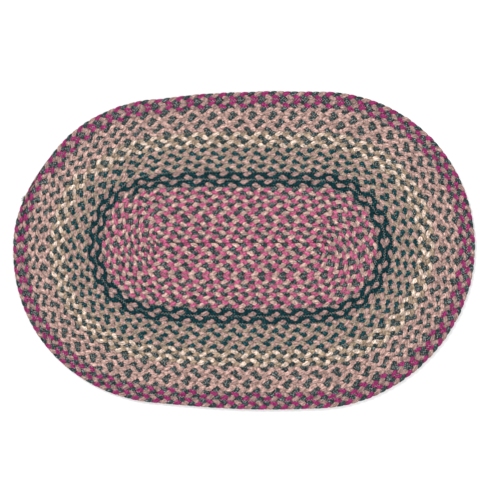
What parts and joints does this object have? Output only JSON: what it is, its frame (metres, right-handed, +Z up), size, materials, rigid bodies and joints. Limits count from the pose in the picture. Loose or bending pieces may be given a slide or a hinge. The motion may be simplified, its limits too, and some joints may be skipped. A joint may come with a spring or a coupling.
{
  "type": "braided rug",
  "caption": "Small oval rug of one flat braid in soft mixed yarns, coiled edge to edge and sewn into a mat that lies flat on a floor.",
  "frame": {"origin": "middle of the rug's outline in plan, at the floor", "axes": "+X along the rug's length, +Y across it, +Z up off the floor"},
  "size_m": [0.762, 0.5258, 0.0084],
  "materials": {
    "braid_yarn": "matte",
    "rose_yarn": "matte",
    "peach_yarn": "matte",
    "sage_yarn": "matte",
    "teal_yarn": "matte",
    "dusty_yarn": "matte",
    "tan_yarn": "matte",
    "cream_yarn": "matte",
    "magenta_yarn": "matte"
  },
  "bodies": {
    "root": {"braided_rug": "braid_yarn"}
  },
  "joints": []
}
